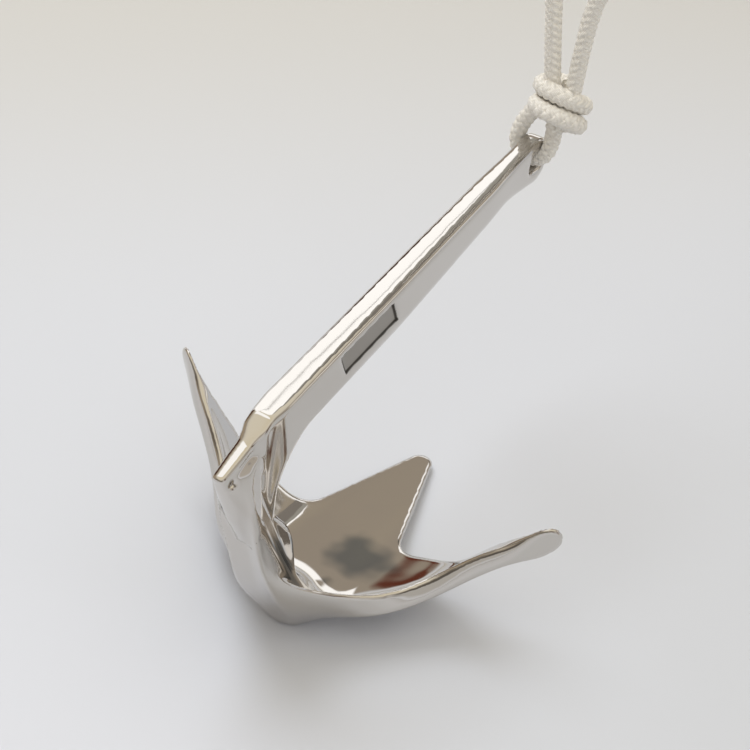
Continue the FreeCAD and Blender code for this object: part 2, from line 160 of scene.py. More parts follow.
def placed_object(name: str, data: bpy.types.ID) -> Object:
    """Put a mesh, a curve, a camera or a light into the scene, at the origin.

    Args:
        name: The object's name.
        data: What the object shows.

    Returns:
        The new object.
    """
    piece = bpy.data.objects.new(name, data)
    bpy.context.scene.collection.objects.link(piece)
    return piece


def finished_mesh(work: bmesh.types.BMesh, name: str) -> Mesh:
    """Turn a shape in work into a mesh, and let the work go.

    Args:
        work: The shape in work.
        name: The mesh's name.

    Returns:
        The mesh.
    """
    mesh = bpy.data.meshes.new(name)
    work.to_mesh(mesh)
    work.free()
    return mesh


def evaluated_mesh(piece: Object) -> Mesh:
    """Copy the mesh that an object shows with its modifiers on.

    Args:
        piece: The object.

    Returns:
        The copy.
    """
    bpy.context.view_layer.update()
    graph = bpy.context.evaluated_depsgraph_get()
    return bpy.data.meshes.new_from_object(piece.evaluated_get(graph), depsgraph=graph)


def vertex_rows(mesh: Mesh, what: str) -> np.ndarray:
    """Read one vector of each of a mesh's vertices.

    Args:
        mesh: The mesh.
        what: "co" for the places, "normal" for the normals.

    Returns:
        The vectors, one to a row.
    """
    rows = np.zeros(len(mesh.vertices) * 3)
    mesh.vertices.foreach_get(what, rows)
    return rows.reshape(-1, 3)


def move_vertices(mesh: Mesh, places: np.ndarray) -> None:
    """Put a mesh's vertices in their new places."""
    mesh.vertices.foreach_set("co", places.ravel())
    mesh.update()


def eased(values: np.ndarray) -> np.ndarray:
    """Keep values from 0 to 1, with a smooth start and end."""
    shares = np.clip(values, 0.0, 1.0)
    return shares * shares * (3 - 2 * shares)


@dataclass(frozen=True)
class SunkPlate:
    """The plain sunk plate on the shank's right side: a leaning rectangle with round corners."""

    # Its middle, and the side face that it is sunk into, in metres.
    middle_x: float = 0.0485
    middle_z: float = 0.1407
    side_y: float = -0.0053
    # How the shank rises to the front, and how the plate's ends lean.
    slope: float = 0.0831
    lean: float = 0.423
    half_long_mm: float = 20.75
    half_tall_mm: float = 6.5
    corner_mm: float = 2.2
    deep_mm: float = 0.8
    # The width of the step down, and how far round the plate the side is made flat.
    edge_mm: float = 0.9
    reach_mm: float = 2.4
    # How far in from the side face the skin still counts as that face.
    side_band_mm: float = 2.0

    def distance_mm(self, places: np.ndarray) -> np.ndarray:
        """Work out how far places lie outside the plate's outline, seen from the side.

        Args:
            places: Places in metres, one to a row.

        Returns:
            Distances in millimetres, negative inside.
        """
        along = (places[:, 0] - self.middle_x) / MM
        up = (places[:, 2] - self.middle_z) / MM - along * self.slope
        along = along + up * self.lean
        over = np.stack((np.abs(along) - self.half_long_mm, np.abs(up) - self.half_tall_mm), axis=1)
        over += self.corner_mm
        outside = np.linalg.norm(np.maximum(over, 0.0), axis=1)
        return outside + np.minimum(over.max(axis=1), 0.0) - self.corner_mm

    def sink(self, skin: Mesh) -> None:
        """Press the plate into the shank's side, with a crisp edge.

        Args:
            skin: The casting's skin, changed in place.
        """
        places = vertex_rows(skin, "co")
        away = self.distance_mm(places)
        chosen = (away < self.reach_mm) & (places[:, 1] < self.side_y + self.side_band_mm * MM)
        away = away[chosen]
        level = self.side_y + eased(0.5 - away / self.edge_mm) * self.deep_mm * MM
        blend = np.clip((self.reach_mm - away) / (self.reach_mm / 2), 0.0, 1.0)
        places[chosen, 1] += blend * (level - places[chosen, 1])
        move_vertices(skin, places)


@dataclass(frozen=True)
class PolishedStainless:
    """Mirror-polished cast 316 stainless steel: a bright grey mirror with soft, wavy reflections."""

    name: str = "polished_stainless_steel"
    colour: str = "#cfcbc6"
    roughness: float = 0.05
    # The casting's long waves after hand polishing.
    wave_mm: float = 22.0
    wave_height_mm: float = 0.16
    wave_detail: float = 0.5
    # The sunk plate keeps the rougher, dull skin of the mould, darkened partly as painted shade.
    # The dark band round its edge is painted shade.
    plate_skin_and_shade_colour: str = "#9a958e"
    painted_edge_shade_colour: str = "#4a453f"
    plate_roughness: float = 0.32
    groove_mm: Pair = (-1.3, 0.1)
    groove_soft_mm: Pair = (0.5, 0.3)
    # A distance past any edge, for the skin that is not on the plate's side.
    off_plate_mm: float = 100.0
    # A grey patch with a ragged edge on the scoop's floor is a painted reflection of something dark above
    # it.
    painted_reflection_middle_mm: Point = (45.0, -16.0, 16.0)
    painted_reflection_reach_mm: Pair = (18.0, 31.0)
    painted_reflection_colour: str = "#90959a"
    blotch_mm: float = 14.0
    blotch_detail: float = 1.0
    ragged_mm: float = 22.0

    def plate_distance(self, tree: Tree, place: Socket) -> Socket:
        """Work out how far a place lies outside the plate's outline, in millimetres.

        Args:
            tree: The material's tree.
            place: The place in the object's own coordinates.

        Returns:
            The distance, negative inside and large away from the shank's right side.
        """
        add, plate = partial(add_node, tree), SunkPlate()
        middle = (plate.middle_x, 0.0, plate.middle_z)
        off = add("ShaderNodeVectorMath", {0: place, 1: middle}, operation="SUBTRACT")
        off_mm = add("ShaderNodeVectorMath", {0: off, "Scale": 1 / MM}, operation="SCALE")
        across, side, height = add("ShaderNodeSeparateXYZ", {0: off_mm}).outputs
        up = add("ShaderNodeMath", {0: across, 1: -plate.slope, 2: height}, operation="MULTIPLY_ADD")
        along = add("ShaderNodeMath", {0: up, 1: plate.lean, 2: across}, operation="MULTIPLY_ADD")
        past = []
        for value, half in ((along, plate.half_long_mm), (up, plate.half_tall_mm)):
            size = add("ShaderNodeMath", {0: value}, operation="ABSOLUTE")
            past.append(add("ShaderNodeMath", {0: size, 1: half}, operation="SUBTRACT"))
        over = add("ShaderNodeMath", {0: past[0], 1: past[1]}, operation="SMOOTH_MAX")
        left = add("ShaderNodeMath", {0: side, 1: 0.0}, operation="GREATER_THAN")
        away = add("ShaderNodeMath", {0: left, 1: self.off_plate_mm, 2: over}, operation="MULTIPLY_ADD")
        return away.outputs[0]

    def painted_reflection_distance(self, tree: Tree, place: Socket) -> Socket:
        """Work out how far a place lies from the middle of the painted reflection on the scoop's floor.

        Args:
            tree: The material's tree.
            place: The place in the object's own coordinates.

        Returns:
            The distance in metres, made uneven so that the painted reflection's edge is ragged.
        """
        add = partial(add_node, tree)
        scale = 1 / (self.blotch_mm * MM)
        blotch = add("ShaderNodeTexNoise", {"Vector": place, "Scale": scale, "Detail": self.blotch_detail})
        middle = tuple(value * MM for value in self.painted_reflection_middle_mm)
        gap = add("ShaderNodeVectorMath", {0: place, 1: middle}, operation="DISTANCE").outputs["Value"]
        ragged = {0: blotch.outputs["Fac"], 1: self.ragged_mm * MM, 2: gap}
        return add("ShaderNodeMath", ragged, operation="MULTIPLY_ADD").outputs[0]

    def build(self) -> Material:
        """Build the material.

        Returns:
            The finished material.
        """
        material, tree = new_material(self.name)
        add = partial(add_node, tree)
        place = add("ShaderNodeTexCoord").outputs["Object"]
        scale = 1 / (self.wave_mm * MM)
        waves = add("ShaderNodeTexNoise", {"Vector": place, "Scale": scale, "Detail": self.wave_detail})
        bump = add(
            "ShaderNodeBump",
            {"Height": waves.outputs["Fac"], "Distance": self.wave_height_mm * MM, "Strength": 1.0},
        )
        away = self.plate_distance(tree, place)
        (inner, outer), (inside_soft, soft) = self.groove_mm, self.groove_soft_mm
        near, far = (value * MM for value in self.painted_reflection_reach_mm)
        tint = linear(self.colour)
        for colour, value, ends in (
            # The painted reflection on the scoop's floor.
            (self.painted_reflection_colour, self.painted_reflection_distance(tree, place), (far, near)),
            # Painted shade in a band round the plate's edge.
            (self.painted_edge_shade_colour, away, (outer + soft, outer - soft)),
            # The plate's colour: its dull skin, darkened partly as painted shade.
            (self.plate_skin_and_shade_colour, away, (inner + inside_soft, inner - soft)),
        ):
            tint = laid_over(tree, tint, linear(colour), value, ends)
        rough = add(
            "ShaderNodeMapRange",
            {
                "Value": away,
                "From Min": outer + soft,
                "From Max": outer - soft,
                "To Min": self.roughness,
                "To Max": self.plate_roughness,
            },
            interpolation_type="SMOOTHSTEP",
        )
        shader = add(
            "ShaderNodeBsdfPrincipled",
            {"Base Color": tint, "Metallic": 1.0, "Roughness": rough, "Normal": bump},
        )
        add("ShaderNodeOutputMaterial", {"Surface": shader})
        return material


@dataclass(frozen=True)
class BraidedPolyester:
    """Braided polyester line: off-white yarns with a soft sheen along each strand."""

    name: str = "off_white_braided_polyester"
    colour: str = "#fdfbf5"
    # The grooves between the yarns take the shade colour: painted shade.
    shade: str = "#e7e0d3"
    # A yarn's width and height, how much of that height shows, and how uneven the yarns are.
    yarn_mm: float = 0.35
    yarn_height_mm: float = 0.12
    relief: float = 0.6
    unevenness: float = 1.5
    # The wave texture's scale for yarns that are one unit wide.
    wave_scale: float = 0.32
    roughness: float = 0.62
    sheen: float = 0.25
    sheen_roughness: float = 0.4

    def build(self) -> Material:
        """Build the material.

        Returns:
            The finished material.
        """
        material, tree = new_material(self.name)
        add = partial(add_node, tree)
        surface = add("ShaderNodeUVMap", uv_map="UVMap")
        scale = self.wave_scale / (self.yarn_mm * MM)
        yarns = add(
            "ShaderNodeTexWave",
            {"Vector": surface, "Scale": scale, "Distortion": self.unevenness},
            wave_type="BANDS",
            bands_direction="DIAGONAL",
        ).outputs["Fac"]
        tint = add(
            "ShaderNodeMix",
            {"Factor": yarns, 6: linear(self.shade), 7: linear(self.colour)},
            data_type="RGBA",
        )
        height = self.yarn_height_mm * MM
        bump = add("ShaderNodeBump", {"Height": yarns, "Distance": height, "Strength": self.relief})
        shader = add(
            "ShaderNodeBsdfPrincipled",
            {
                "Base Color": tint.outputs[2],
                "Roughness": self.roughness,
                "Normal": bump,
                "Sheen Weight": self.sheen,
                "Sheen Roughness": self.sheen_roughness,
            },
        )
        add("ShaderNodeOutputMaterial", {"Surface": shader})
        return material


@dataclass(frozen=True)
class PaleTable:
    """A matt pale grey table top, with painted light and shade that drift a little from end to end."""

    name: str = "pale_table"
    colour: str = "#d3d6dd"
    # Painted light and shade: its far end is a little warmer and darker, its near right end a
    # little darker and its near left end lighter. Each drift has its colour, and the places in
    # metres where it starts and is whole.
    far_shade_colour: str = "#cdccc9"
    far_at: Pair = (0.25, 0.9)
    near_shade_colour: str = "#cfd2d8"
    near_at: Pair = (0.0, -0.20)
    left_light_colour: str = "#d9dce4"
    left_at: Pair = (0.0, -0.13)
    roughness: float = 0.7

    def build(self) -> Material:
        """Build the material.

        Returns:
            The finished material.
        """
        material, tree = new_material(self.name)
        add = partial(add_node, tree)
        place = add("ShaderNodeTexCoord").outputs["Object"]
        across, up, _ = add("ShaderNodeSeparateXYZ", {0: place}).outputs
        tint = linear(self.colour)
        # The drifts lay painted light and shade over the table's colour.
        for colour, value, ends in (
            (self.far_shade_colour, add("ShaderNodeMath", {0: across, 1: up}, operation="ADD"), self.far_at),
            (self.near_shade_colour, up, self.near_at),
            (self.left_light_colour, across, self.left_at),
        ):
            tint = laid_over(tree, tint, linear(colour), value, ends)
        shader = add("ShaderNodeBsdfPrincipled", {"Base Color": tint, "Roughness": self.roughness})
        add("ShaderNodeOutputMaterial", {"Surface": shader})
        return material


@dataclass
class Casting:
    """The anchor's one-piece casting: the CAD solid with its edges worn round by polishing."""

    node: str = "anchor"
    plate: SunkPlate = SunkPlate()
    merge_mm: float = 0.001
    # Voxel size in mm and rounds of smoothing: first fine, to round the edges, then for the even
    # skin, which is laid back on the fine one.
    passes: Tuple[Tuple[float, int], ...] = ((0.5, 20), (0.76, 3))
    smoothing_step: float = 0.5
    # Rounds of averaging that take the even skin's ripple out of the mirror.
    normal_rounds: int = 6
    # The fairing that carries the claw's rim up to the shank on both sides of the heel.
    fairing_mm: Tuple[Point, ...] = (
        (-52.5, 2.6, 129.0),
        (-36.0, 3.9, 131.5),
        (-30.0, 5.4, 130.0),
        (-38.5, 6.9, 126.5),
        (-40.5, 8.0, 120.0),
        (-38.5, 8.4, 110.0),
        (-34.0, 10.0, 92.0),
        (-30.5, 8.8, 82.0),
        (-50.0, 1.5, 121.0),
        (-44.5, 1.5, 106.0),
        (-33.0, 1.5, 80.0),
        (-34.0, 5.0, 118.0),
    )
    # The shank's bar is made this share wider, for the width that its rounding takes away,
    # between the kink and the neck and above the column.
    fuller: float = 0.22
    fuller_from_mm: Pair = (-26.0, -10.0)
    fuller_to_mm: Pair = (150.0, 186.0)
    fuller_above_mm: Pair = (80.0, 104.0)
    # The rib on the heel widens towards the kink, by this share at its widest. Its height is
    # taken from a line that slopes as its top does, so only its top is widened.
    rib_fuller: float = 0.35
    rib_start_mm: Pair = (-60.0, -36.0)
    rib_end_mm: Pair = (-36.0, -30.0)
    rib_height_mm: Pair = (144.0, 147.5)
    rib_slope: float = 1 / 3
    # The small hole through the heel: its place, radius and half length.
    hole_mm: Point = (-47.6, 0.0, 126.6)
    hole_radius_mm: float = 1.9
    hole_half_mm: float = 12.0
    hole_sides: int = 32

    def fairing(self) -> Mesh:
        """Shape the fairing as one hull, with the heel's hole through it.

        Returns:
            The fairing.
        """
        hull = bmesh.new()
        for x, y, z in self.fairing_mm:
            for side in (-1, 1):
                hull.verts.new((x * MM, side * y * MM, z * MM))
        found = bmesh.ops.convex_hull(hull, input=hull.verts)
        inside = {part for part in found["geom_interior"] if isinstance(part, bmesh.types.BMVert)}
        bmesh.ops.delete(hull, geom=list(inside), context="VERTS")
        piece = placed_object("fairing_work", finished_mesh(hull, "fairing"))
        pin = bmesh.new()
        bmesh.ops.create_cone(
            pin,
            cap_ends=True,
            segments=self.hole_sides,
            radius1=self.hole_radius_mm * MM,
            radius2=self.hole_radius_mm * MM,
            depth=2 * self.hole_half_mm * MM,
            matrix=Matrix.Translation(Vector(self.hole_mm) * MM) @ Matrix.Rotation(math.pi / 2, 4, "X"),
        )
        cutter = placed_object("fairing_pin", finished_mesh(pin, "fairing_pin"))
        cut = piece.modifiers.new("hole", "BOOLEAN")
        cut.operation = "DIFFERENCE"
        cut.object = cutter
        result = evaluated_mesh(piece)
        for spent in (piece, cutter):
            bpy.data.objects.remove(spent)
        return result

    def closed_copy(self) -> Mesh:
        """Copy the CAD node's loose triangles, join them and add the fairing.

        Returns:
            The closed copy.
        """
        work = bmesh.new()
        work.from_mesh(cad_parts[self.node].data)
        bmesh.ops.remove_doubles(work, verts=work.verts, dist=self.merge_mm * MM)
        work.from_mesh(self.fairing())
        return finished_mesh(work, "casting_copy")

    def worn(self, mesh: Mesh) -> Mesh:
        """Give the casting an even skin of small faces, with its edges rounded.

        Args:
            mesh: The closed copy.

        Returns:
            The even skin.
        """
        fine = None
        for voxel_mm, rounds in self.passes:
            piece = placed_object("casting_work", mesh)
            even = piece.modifiers.new("even_skin", "REMESH")
            even.mode = "VOXEL"
            even.voxel_size = voxel_mm * MM
            soft = piece.modifiers.new("soft_edges", "SMOOTH")
            soft.factor = self.smoothing_step
            soft.iterations = rounds
            if fine:
                laid = piece.modifiers.new("laid_on_fine", "SHRINKWRAP")
                laid.wrap_method = "NEAREST_SURFACEPOINT"
                laid.target = fine
            mesh = evaluated_mesh(piece)
            bpy.data.objects.remove(piece)
            fine = fine or placed_object("casting_fine", mesh)
        bpy.data.objects.remove(fine)
        return mesh

    def fill_out(self, skin: Mesh) -> None:
        """Give the shank's bar and the heel's rib their full width, with soft ends to the change.

        Args:
            skin: The casting's skin, changed in place.
        """

        def risen(along: np.ndarray, ends_mm: Pair) -> np.ndarray:
            """Rise from 0 to 1 over a stretch, with a smooth start and end."""
            start, end = (value * MM for value in ends_mm)
            return eased((along - start) / (end - start))

        places = vertex_rows(skin, "co")
        across, up = places[:, 0], places[:, 2]
        bar = risen(across, self.fuller_from_mm) * (1.0 - risen(across, self.fuller_to_mm))
        bar *= risen(up, self.fuller_above_mm)
        rib = risen(across, self.rib_start_mm) * (1.0 - risen(across, self.rib_end_mm))
        rib *= risen(up - across * self.rib_slope, self.rib_height_mm)
        places[:, 1] *= 1.0 + self.fuller * bar + self.rib_fuller * rib
        move_vertices(skin, places)

    def calm(self, skin: Mesh) -> None:
        """Average the skin's normals with their neighbours', so that flat faces mirror cleanly.

        Args:
            skin: The casting's skin, changed in place.
        """
        ends = np.zeros(len(skin.edges) * 2, dtype=np.int64)
        skin.edges.foreach_get("vertices", ends)
        ends = ends.reshape(-1, 2)
        normals = vertex_rows(skin, "normal")
        count = len(normals)
        for _ in range(self.normal_rounds):
            total = normals.copy()
            for axis in range(3):
                for here, there in ((0, 1), (1, 0)):
                    total[:, axis] += np.bincount(ends[:, here], normals[ends[:, there], axis], count)
            normals = total / np.maximum(np.linalg.norm(total, axis=1, keepdims=True), TINY)
        skin.normals_split_custom_set_from_vertices(normals.tolist())

    def build(self, finish: PolishedStainless) -> Object:
        """Build the casting's visible skin and put it in the CAD node's place.

        Args:
            finish: The casting's finish.

        Returns:
            The finished piece.
        """
        skin = self.worn(self.closed_copy())
        self.plate.sink(skin)
        self.fill_out(skin)
        skin.materials.clear()
        skin.materials.append(finish.build())
        skin.polygons.foreach_set("use_smooth", [True] * len(skin.polygons))
        self.calm(skin)
        piece = placed_object("casting", skin)
        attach(piece, Body.ROOT.value)
        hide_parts(self.node)
        return piece


@dataclass(frozen=True)
class Route:
    """A length of rope: the control points of its smooth line, in metres, and its real length."""

    name: str
    node: str
    points: Sequence[Point]
    length: float
    lay: str


# The rope's routes, in metres: the same points as the solids follow.
EYE_STRAND = Route(
    name="rope_eye",
    node="rope_eye_strand",
    points=[
        (0.2025, -0.0093, 0.1684),
        (0.2025, -0.0089, 0.1510),
        (0.2025, 0.0089, 0.1510),
        (0.2025, 0.0091, 0.1676),
        (0.2025, 0.0008, 0.1794),
    ],
    length=0.0594,
    lay="taut",
)
LOOP = Route(
    name="rope_loop_braid",
    node="rope_loop",
    points=[
        (0.2025, -0.0046, 0.1920),
        (0.2025, -0.0006, 0.2160),
        (0.2025, 0.0029, 0.2430),
        (0.2025, 0.0125, 0.2610),
        (0.2025, 0.0195, 0.2810),
        (0.2025, 0.0195, 0.3040),
        (0.2025, 0.0031, 0.3204),
        (0.2025, -0.0201, 0.3204),
        (0.2025, -0.0365, 0.3040),
        (0.2025, -0.0365, 0.2810),
        (0.2025, -0.0280, 0.2610),
        (0.2025, -0.0180, 0.2430),
        (0.2025, -0.0158, 0.2160),
        (0.2025, -0.0152, 0.1920),
    ],
    length=0.2968,
    lay="hanging",
)


@dataclass
class Rope:
    """The braided rope: the strand through the eye, the knot and the loop above it."""

    diameter_mm: float = 8.0
    strand_count: int = 8
    # A stitch's length along the rope, and a strand's half width and half thickness.
    stitch_mm: float = 3.7
    strand_wide_mm: float = 1.6
    strand_thick_mm: float = 1.15
    # The strands' ring round the rope's middle, how far they weave in and out of it, and the
    # length of one step along them.
    ring_mm: float = 2.7
    weave_mm: float = 0.4
    step_mm: float = 0.75
    strand_sides: int = 10
    # An oval strand's way round, in half widths.
    strand_round: float = 4.0
    # The smooth line's steps between two control points.
    line_steps: int = 24

    def centreline(self, route: Route) -> Mesh:
        """Read the smooth line of a route.

        Args:
            route: The route whose points are the control points.

        Returns:
            The line as a mesh of edges.
        """
        data = bpy.data.curves.new(route.name + "_line", "CURVE")
        data.dimensions = "3D"
        data.resolution_u = self.line_steps
        spline = data.splines.new("NURBS")
        spline.points.add(len(route.points) - 1)
        for point, place in zip(spline.points, route.points):
            point.co = (*place, 1.0)
        spline.order_u = 3
        spline.use_endpoint_u = True
        holder = placed_object(route.name + "_line", data)
        line = evaluated_mesh(holder)
        bpy.data.objects.remove(holder)
        return line

    def braid_tree(self) -> bpy.types.GeometryNodeTree:
        """Build the tree that braids strands round a line.

        Returns:
            The tree, whose inputs are the braid's sizes.
        """
        tree = bpy.data.node_groups.new("braid", "GeometryNodeTree")
        sizes = ("Turn", "Ring", "Weave", "Strand Wide", "Strand Thick", "Step")
        for name, kind in (
            ("Line", "Geometry"),
            *((size, "Float") for size in sizes),
            ("Strands", "Int"),
            ("Finish", "Material"),
        ):
            tree.interface.new_socket(name, in_out="INPUT", socket_type=f"NodeSocket{kind}")
        tree.interface.new_socket("Braid", in_out="OUTPUT", socket_type="NodeSocketGeometry")
        add = partial(add_node, tree)
        given = add("NodeGroupInput").outputs
        curve = add("GeometryNodeMeshToCurve", {0: given["Line"]})
        even = add("GeometryNodeResampleCurve", {"Curve": curve, "Length": given["Step"]}, mode="LENGTH")
        many = add(
            "GeometryNodeDuplicateElements", {"Geometry": even, "Amount": given["Strands"]}, domain="SPLINE"
        )
        # The braid's rule: every second strand turns the other way, and each weaves over and under
        # those that it crosses. A row names a step's result, its operation and what it takes.
        along = add("GeometryNodeSplineParameter").outputs["Length"]
        found = {"along": along, "number": many.outputs["Duplicate Index"], **dict(given.items())}
        for name, operation, *operands in (
            ("parity", "MODULO", "number", 2.0),
            ("back", "MULTIPLY", "parity", 2.0),
            ("way", "SUBTRACT", 1.0, "back"),
            ("half", "MULTIPLY", "Strands", 0.5),
            ("pair", "MULTIPLY", "number", 0.5),
            ("rank", "FLOOR", "pair"),
            ("turns", "DIVIDE", "along", "Turn"),
            ("turned", "MULTIPLY", "turns", 2 * math.pi),
            ("share", "DIVIDE", "rank", "half"),
            ("start", "MULTIPLY", "share", 2 * math.pi),
            ("swung", "MULTIPLY", "way", "turned"),
            ("angle", "ADD", "swung", "start"),
            ("cosine", "COSINE", "angle"),
            ("sine", "SINE", "angle"),
            ("crossings", "MULTIPLY", "turned", "half"),
            ("wave", "COSINE", "crossings"),
            ("lift", "MULTIPLY", "way", "wave"),
            ("shift", "MULTIPLY", "Weave", "lift"),
            ("radius", "ADD", "Ring", "shift"),
            ("round", "MULTIPLY", "Strand Wide", self.strand_round),
        ):
            inputs = {slot: found.get(value, value) for slot, value in enumerate(operands)}
            found[name] = add("ShaderNodeMath", inputs, operation=operation)
        normal, tangent = add("GeometryNodeInputNormal"), add("GeometryNodeInputTangent")
        side = add("ShaderNodeVectorMath", {0: tangent, 1: normal}, operation="CROSS_PRODUCT")
        first = add("ShaderNodeVectorMath", {0: normal, "Scale": found["cosine"]}, operation="SCALE")
        second = add("ShaderNodeVectorMath", {0: side, "Scale": found["sine"]}, operation="SCALE")
        outward = add("ShaderNodeVectorMath", {0: first, 1: second}, operation="ADD").outputs[0]
        offset = add("ShaderNodeVectorMath", {0: outward, "Scale": found["radius"]}, operation="SCALE")
        kept = add("GeometryNodeCaptureAttribute", {"Geometry": many}, domain="POINT")
        for kind, name, value in (("VECTOR", "Outward", outward), ("FLOAT", "Along", along)):
            kept.capture_items.new(kind, name)
            tree.links.new(value, kept.inputs[name])
        placed = add("GeometryNodeSetPosition", {"Geometry": kept, "Offset": offset})
        facing = add(
            "GeometryNodeSetCurveNormal", {"Curve": placed, "Normal": kept.outputs["Outward"]}, mode="FREE"
        )
        # Each strand is an oval that is swept along its line.
        ring = add("GeometryNodeCurvePrimitiveCircle", {"Resolution": self.strand_sides, "Radius": 1.0})
        oval = add("ShaderNodeCombineXYZ", {0: given["Strand Thick"], 1: given["Strand Wide"], 2: 1.0})
        section = add("GeometryNodeTransform", {"Geometry": ring, "Scale": oval})
        edge = add("GeometryNodeCaptureAttribute", {"Geometry": section}, domain="POINT")
        edge.capture_items.new("FLOAT", "Around")
        around = add("GeometryNodeSplineParameter").outputs["Factor"]
        tree.links.new(around, edge.inputs["Around"])
        tube = add("GeometryNodeCurveToMesh", {"Curve": facing, "Profile Curve": edge, "Fill Caps": True})
        # The yarns' map runs along the rope and round the strand, in metres.
        wide = {0: edge.outputs["Around"], 1: found["round"]}
        across = add("ShaderNodeMath", wide, operation="MULTIPLY")
        laid = add("ShaderNodeCombineXYZ", {0: kept.outputs["Along"], 1: across})
        mapped = add(
            "GeometryNodeStoreNamedAttribute",
            {"Geometry": tube, "Name": "UVMap", "Value": laid},
            data_type="FLOAT2",
            domain="CORNER",
        )
        smooth = add("GeometryNodeSetShadeSmooth", {"Geometry": mapped, "Shade Smooth": True})
        real = add("GeometryNodeRealizeInstances", {0: smooth})
        dressed = add("GeometryNodeSetMaterial", {"Geometry": real, "Material": given["Finish"]})
        add("NodeGroupOutput", {0: dressed})
        return tree

    def braided(self, route: Route, tree: Tree, finish: Material, swell: float = 1.0) -> Object:
        """Braid one length of rope.

        Args:
            route: The length's route.
            tree: The braiding tree.
            finish: The rope's material.
            swell: How much thicker the rope is than when it hangs free.

        Returns:
            The rope as a plain mesh.
        """
        line = placed_object(route.name + "_work", self.centreline(route))
        modifier = line.modifiers.new("braid", "NODES")
        modifier.node_group = tree
        sizes = {
            "Turn": self.stitch_mm * MM * self.strand_count / 2,
            "Ring": self.ring_mm * MM * swell,
            "Weave": self.weave_mm * MM,
            "Strand Wide": self.strand_wide_mm * MM * swell,
            "Strand Thick": self.strand_thick_mm * MM * swell,
            "Step": self.step_mm * MM,
            "Strands": self.strand_count,
            "Finish": finish,
        }
        for item in tree.interface.items_tree:
            if item.item_type == "SOCKET" and item.in_out == "INPUT" and item.name in sizes:
                modifier[item.identifier] = sizes[item.name]
        mesh = evaluated_mesh(line)
        bpy.data.objects.remove(line)
        mesh.name = route.name
        return placed_object(route.name, mesh)

    def declare(self, piece: Object, route: Route, with_pieces: Sequence[Object]) -> None:
        """Attach a length of rope to the anchor's root body and hide its CAD part.

        Args:
            piece: The braided mesh.
            route: The length's route.
            with_pieces: Not used.
        """
        line = self.centreline(route)
        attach(piece, Body.ROOT.value)
        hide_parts(route.node)


@dataclass(frozen=True)
class Knot:
    """The doubled overhand knot: two leaning wraps round the strands that pass through them."""

    name: str = "rope_knot_braid"
    node: str = "rope_knot"
    centre: Point = (0.2025, -0.0095, 0.1800)
    # The coil's radius, its rise with each turn, and its top above the centre.
    ring_mm: float = 11.0
    rise_mm: float = 9.4
    top_mm: float = 14.4
    # The wraps lean back, towards this many degrees round from +x, and swell where they bend.
    lean_deg: float = 26.0
    lean_towards_deg: float = 8.0
    swell: float = 1.1
    start_deg: float = 330.0
    turns: float = 2.15
    points_per_turn: int = 14
    # The share of a turn over which each end tucks into the middle, and how far in it ends.
    tuck_turns: float = 0.22
    tuck_share: float = 0.3
    # The middle places of the two strands that pass through the wraps.
    near_middle: Point = (0.2020, -0.0085, 0.1790)
    far_middle: Point = (0.2030, -0.0100, 0.1840)

    def wraps(self) -> Route:
        """Work out the wraps' line: a leaning coil whose two ends tuck into its middle.

        Returns:
            The coil's route.
        """
        towards = math.radians(self.lean_towards_deg)
        axis = Vector((-math.sin(towards), math.cos(towards), 0.0))
        lean = Matrix.Rotation(math.radians(self.lean_deg), 3, axis)
        count = round(self.turns * self.points_per_turn)
        points = []
        for number in range(count + 1):
            turn = self.turns * number / count
            near_end = min(turn, self.turns - turn) / self.tuck_turns
            share = self.tuck_share + (1 - self.tuck_share) * math.sin(min(near_end, 1.0) * math.pi / 2)
            angle = math.radians(self.start_deg) + turn * 2 * math.pi
            reach = self.ring_mm * share
            height = self.top_mm - self.rise_mm * turn
            place = Vector((reach * math.cos(angle), reach * math.sin(angle), height))
            points.append(tuple(Vector(self.centre) + lean @ place * MM))
        return Route(name=self.name, node=self.node, points=points, length=0.0, lay="taut")

    def passing(self) -> List[Route]:
        """Lead the two strands through the wraps, from the eye up to the loop's legs.

        Returns:
            Their routes.
        """
        near = [EYE_STRAND.points[0], self.near_middle, LOOP.points[0]]
        far = [EYE_STRAND.points[-1], self.far_middle, LOOP.points[-1]]
        return [
            Route(name=f"{self.name}_{number}", node=self.node, points=points, length=0.0, lay="taut")
            for number, points in enumerate((near, far), start=1)
        ]

    def build(self, rope: Rope, tree: Tree, finish: Material) -> Object:
        """Braid the knot's lengths and join them into one piece.

        Args:
            rope: The rope that the knot is tied in.
            tree: The braiding tree.
            finish: The rope's material.

        Returns:
            The knot.
        """
        work = bmesh.new()
        for route, swell in [(self.wraps(), self.swell), *((route, 1.0) for route in self.passing())]:
            length = rope.braided(route, tree, finish, swell)
            work.from_mesh(length.data)
            bpy.data.objects.remove(length)
        mesh = finished_mesh(work, self.name)
        mesh.materials.append(finish)
        piece = placed_object(self.name, mesh)
        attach(piece, Body.ROOT.value)
        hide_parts(self.node)
        return piece


@dataclass(frozen=True)
class PhotoCamera:
    """The photograph's camera, for a square picture."""

    place: Point = (-0.4745, -0.2901, 0.6262)
    right: Point = (0.5319, -0.8426, 0.0846)
    up: Point = (0.5152, 0.4010, 0.7573)
    lens_mm: float = 86.4
    sensor_mm: float = 36.0
    # Nothing nearer than this is seen, in metres.
    near: float = 0.01

    def build(self) -> None:
        """Make the scene's camera."""
        data = bpy.data.cameras.new("camera")
        data.lens = self.lens_mm
        data.sensor_width = self.sensor_mm
        data.clip_start = self.near
        camera = placed_object("camera", data)
        right, up = Vector(self.right).normalized(), Vector(self.up)
        up = (up - right * up.dot(right)).normalized()
        back = right.cross(up)
        turn = Matrix((right, up, back)).transposed().to_4x4()
        camera.matrix_world = Matrix.Translation(self.place) @ turn
        bpy.context.scene.camera = camera


